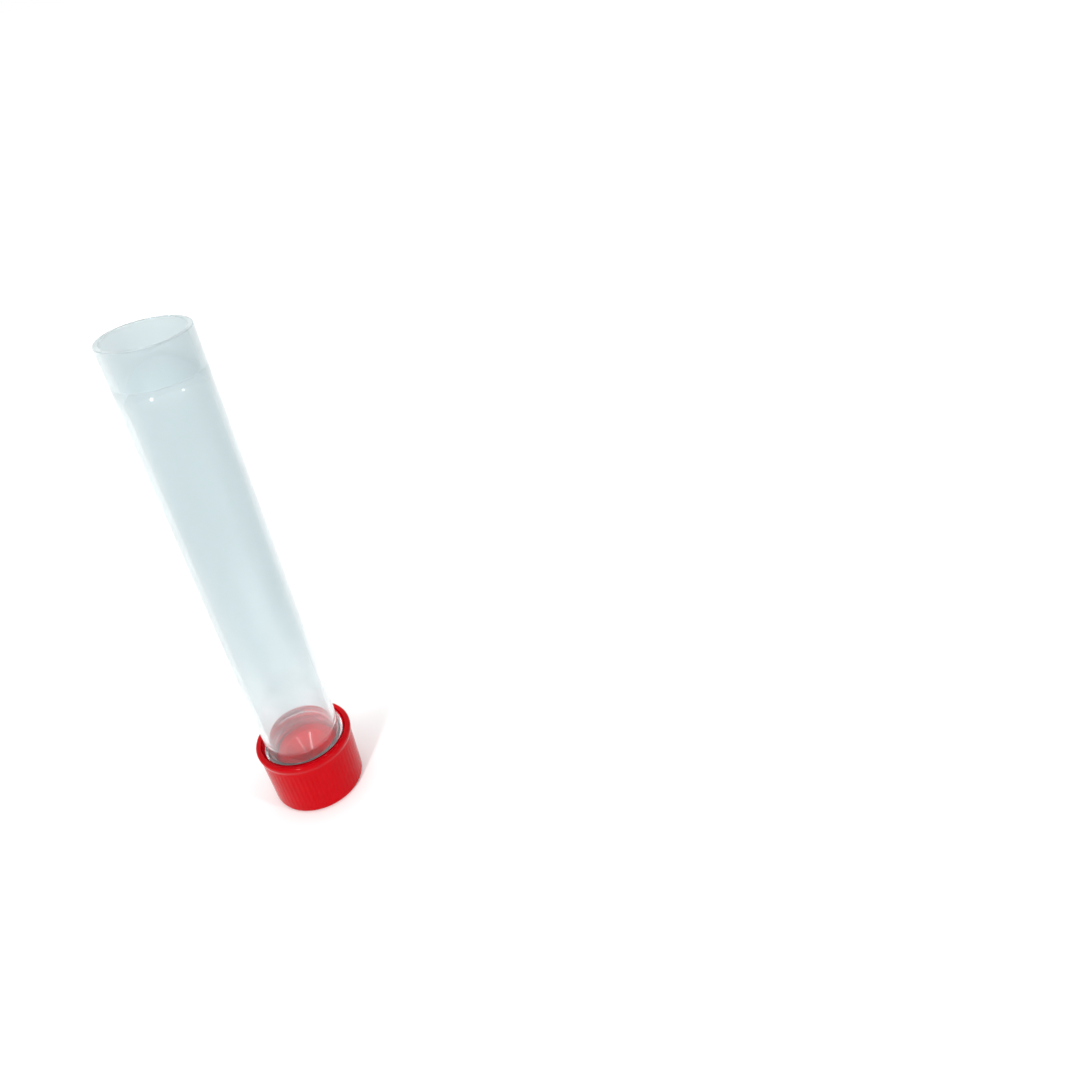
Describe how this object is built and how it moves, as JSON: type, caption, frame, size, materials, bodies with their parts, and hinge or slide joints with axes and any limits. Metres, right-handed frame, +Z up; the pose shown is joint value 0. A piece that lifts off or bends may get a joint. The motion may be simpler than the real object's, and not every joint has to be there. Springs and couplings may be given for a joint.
{
  "type": "screw-cap sample tube",
  "caption": "Translucent plastic sample tube with a skirted foot and a round floor, closed by a ribbed screw cap with a sealing plug.",
  "frame": {"origin": "centre of the cap's closed face, on which the capped tube stands upside down", "axes": "+Z up the tube's axis, from the cap to the skirt's foot; X and Y are any two square directions across it"},
  "size_m": [0.0205, 0.0204, 0.106],
  "materials": {
    "translucent_plastic": "frosted, translucent",
    "cap_plastic": "moulded, semi-gloss",
    "seal_rubber": "smooth silicone"
  },
  "bodies": {
    "cap": {"cap": "cap_plastic"},
    "seal_ring": {"seal_ring": "seal_rubber"},
    "tube": {"tube": "translucent_plastic"}
  },
  "joints": [
    {"name": "tube_turn", "type": "hinge", "parent": "cap", "child": "seal_ring", "pos_m": [0, 0, 0], "axis": [0, 0, 1], "range_deg": [0, 2165]},
    {"name": "tube_lift", "type": "slide", "parent": "seal_ring", "child": "tube", "axis": [0, 0, 1], "range_m": [0, 0.015]}
  ],
  "couplings": [
    {"joint": "tube_turn", "follows": "tube_lift", "rad_per_m": 2513.3}
  ]
}
